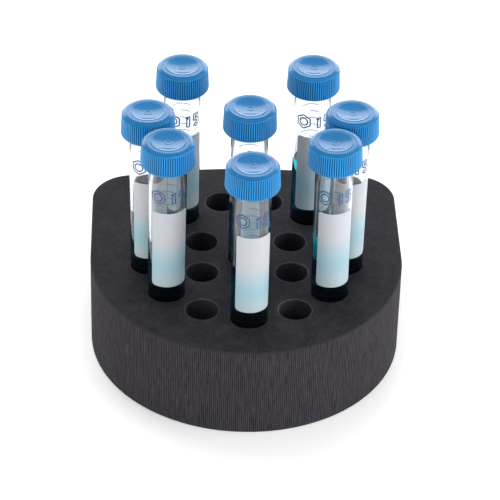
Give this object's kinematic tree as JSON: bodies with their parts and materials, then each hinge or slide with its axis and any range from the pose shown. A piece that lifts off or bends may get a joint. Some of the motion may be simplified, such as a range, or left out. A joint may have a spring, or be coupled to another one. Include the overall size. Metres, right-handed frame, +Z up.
{
  "type": "foam test tube rack with screw-cap tubes",
  "caption": "D-shaped foam rack with rings of round wells holding clear screw-cap tubes part filled with blue liquid",
  "frame": {"origin": "on the surface that the block stands on, under the centre of the rings of wells", "axes": "+Z up, the block's rounded front toward -Y, its flat back toward +Y"},
  "size_m": [0.136, 0.136, 0.1212],
  "materials": {
    "foam": "matte closed-cell foam",
    "clear_wall": "clear, glossy",
    "cap_blue": "satin",
    "liner_white": "matte",
    "label_white": "matte, slightly see-through",
    "liquid_cyan": "clear liquid"
  },
  "bodies": {
    "rack": {"foam_block": "foam"},
    "tube_1": {"tube_1": "clear_wall", "label_1": "label_white", "liquid_1": "liquid_cyan"},
    "liner_1": {"liner_1": "liner_white"},
    "cap_1": {"cap_1": "cap_blue"},
    "tube_2": {"tube_2": "clear_wall", "label_2": "label_white", "liquid_2": "liquid_cyan"},
    "liner_2": {"liner_2": "liner_white"},
    "cap_2": {"cap_2": "cap_blue"},
    "tube_3": {"tube_3": "clear_wall", "label_3": "label_white", "liquid_3": "liquid_cyan"},
    "liner_3": {"liner_3": "liner_white"},
    "cap_3": {"cap_3": "cap_blue"},
    "tube_4": {"tube_4": "clear_wall", "label_4": "label_white", "liquid_4": "liquid_cyan"},
    "liner_4": {"liner_4": "liner_white"},
    "cap_4": {"cap_4": "cap_blue"},
    "tube_5": {"tube_5": "clear_wall", "label_5": "label_white", "liquid_5": "liquid_cyan"},
    "liner_5": {"liner_5": "liner_white"},
    "cap_5": {"cap_5": "cap_blue"},
    "tube_6": {"tube_6": "clear_wall", "label_6": "label_white", "liquid_6": "liquid_cyan"},
    "liner_6": {"liner_6": "liner_white"},
    "cap_6": {"cap_6": "cap_blue"},
    "tube_7": {"tube_7": "clear_wall", "label_7": "label_white", "liquid_7": "liquid_cyan"},
    "liner_7": {"liner_7": "liner_white"},
    "cap_7": {"cap_7": "cap_blue"},
    "tube_8": {"tube_8": "clear_wall", "label_8": "label_white", "liquid_8": "liquid_cyan"},
    "liner_8": {"liner_8": "liner_white"},
    "cap_8": {"cap_8": "cap_blue"}
  },
  "joints": [
    {"name": "tube_1_lift", "type": "slide", "parent": "rack", "child": "tube_1", "axis": [0, 0, 1], "range_m": [0, 0.045]},
    {"name": "cap_1_rise", "type": "slide", "parent": "tube_1", "child": "liner_1", "axis": [0, 0, 1], "range_m": [0, 0.0053]},
    {"name": "cap_1_turn", "type": "hinge", "parent": "liner_1", "child": "cap_1", "pos_m": [0, -0.0426, 0.1155], "axis": [0, 0, 1], "range_deg": [0, 630]},
    {"name": "tube_2_lift", "type": "slide", "parent": "rack", "child": "tube_2", "axis": [-0.006, -0.0159, 0.9999], "range_m": [0, 0.045]},
    {"name": "cap_2_rise", "type": "slide", "parent": "tube_2", "child": "liner_2", "axis": [-0.006, -0.0159, 0.9999], "range_m": [0, 0.0053]},
    {"name": "cap_2_turn", "type": "hinge", "parent": "liner_2", "child": "cap_2", "pos_m": [0.03449, -0.02569, 0.11549], "axis": [-0.006, -0.0159, 0.9999], "range_deg": [0, 630]},
    {"name": "tube_3_lift", "type": "slide", "parent": "rack", "child": "tube_3", "axis": [0.006, 0.0159, 0.9999], "range_m": [0, 0.045]},
    {"name": "cap_3_rise", "type": "slide", "parent": "tube_3", "child": "liner_3", "axis": [0.006, 0.0159, 0.9999], "range_m": [0, 0.0053]},
    {"name": "cap_3_turn", "type": "hinge", "parent": "liner_3", "child": "cap_3", "pos_m": [0.04286, -0.00364, 0.11549], "axis": [0.006, 0.0159, 0.9999], "range_deg": [0, 630]},
    {"name": "tube_4_lift", "type": "slide", "parent": "rack", "child": "tube_4", "axis": [0, 0, 1], "range_m": [0, 0.045]},
    {"name": "cap_4_rise", "type": "slide", "parent": "tube_4", "child": "liner_4", "axis": [0, 0, 1], "range_m": [0, 0.0053]},
    {"name": "cap_4_turn", "type": "hinge", "parent": "liner_4", "child": "cap_4", "pos_m": [0.02825, 0.03189, 0.1155], "axis": [0, 0, 1], "range_deg": [0, 630]},
    {"name": "tube_5_lift", "type": "slide", "parent": "rack", "child": "tube_5", "axis": [0, 0, 1], "range_m": [0, 0.045]},
    {"name": "cap_5_rise", "type": "slide", "parent": "tube_5", "child": "liner_5", "axis": [0, 0, 1], "range_m": [0, 0.0053]},
    {"name": "cap_5_turn", "type": "hinge", "parent": "liner_5", "child": "cap_5", "pos_m": [-0.02825, 0.03189, 0.1155], "axis": [0, 0, 1], "range_deg": [0, 630]},
    {"name": "tube_6_lift", "type": "slide", "parent": "rack", "child": "tube_6", "axis": [-0.006, 0.0159, 0.9999], "range_m": [0, 0.045]},
    {"name": "cap_6_rise", "type": "slide", "parent": "tube_6", "child": "liner_6", "axis": [-0.006, 0.0159, 0.9999], "range_m": [0, 0.0053]},
    {"name": "cap_6_turn", "type": "hinge", "parent": "liner_6", "child": "cap_6", "pos_m": [-0.04286, -0.00364, 0.11549], "axis": [-0.006, 0.0159, 0.9999], "range_deg": [0, 630]},
    {"name": "tube_7_lift", "type": "slide", "parent": "rack", "child": "tube_7", "axis": [0.006, -0.0159, 0.9999], "range_m": [0, 0.045]},
    {"name": "cap_7_rise", "type": "slide", "parent": "tube_7", "child": "liner_7", "axis": [0.006, -0.0159, 0.9999], "range_m": [0, 0.0053]},
    {"name": "cap_7_turn", "type": "hinge", "parent": "liner_7", "child": "cap_7", "pos_m": [-0.03449, -0.02569, 0.11549], "axis": [0.006, -0.0159, 0.9999], "range_deg": [0, 630]},
    {"name": "tube_8_lift", "type": "slide", "parent": "rack", "child": "tube_8", "axis": [0, 0, 1], "range_m": [0, 0.045]},
    {"name": "cap_8_rise", "type": "slide", "parent": "tube_8", "child": "liner_8", "axis": [0, 0, 1], "range_m": [0, 0.0053]},
    {"name": "cap_8_turn", "type": "hinge", "parent": "liner_8", "child": "cap_8", "pos_m": [0, 0, 0.1155], "axis": [0, 0, 1], "range_deg": [0, 630]}
  ],
  "couplings": [
    {"joint": "cap_1_rise", "follows": "cap_1_turn", "m_per_rad": 0.00047746},
    {"joint": "cap_2_rise", "follows": "cap_2_turn", "m_per_rad": 0.00047746},
    {"joint": "cap_3_rise", "follows": "cap_3_turn", "m_per_rad": 0.00047746},
    {"joint": "cap_4_rise", "follows": "cap_4_turn", "m_per_rad": 0.00047746},
    {"joint": "cap_5_rise", "follows": "cap_5_turn", "m_per_rad": 0.00047746},
    {"joint": "cap_6_rise", "follows": "cap_6_turn", "m_per_rad": 0.00047746},
    {"joint": "cap_7_rise", "follows": "cap_7_turn", "m_per_rad": 0.00047746},
    {"joint": "cap_8_rise", "follows": "cap_8_turn", "m_per_rad": 0.00047746}
  ]
}
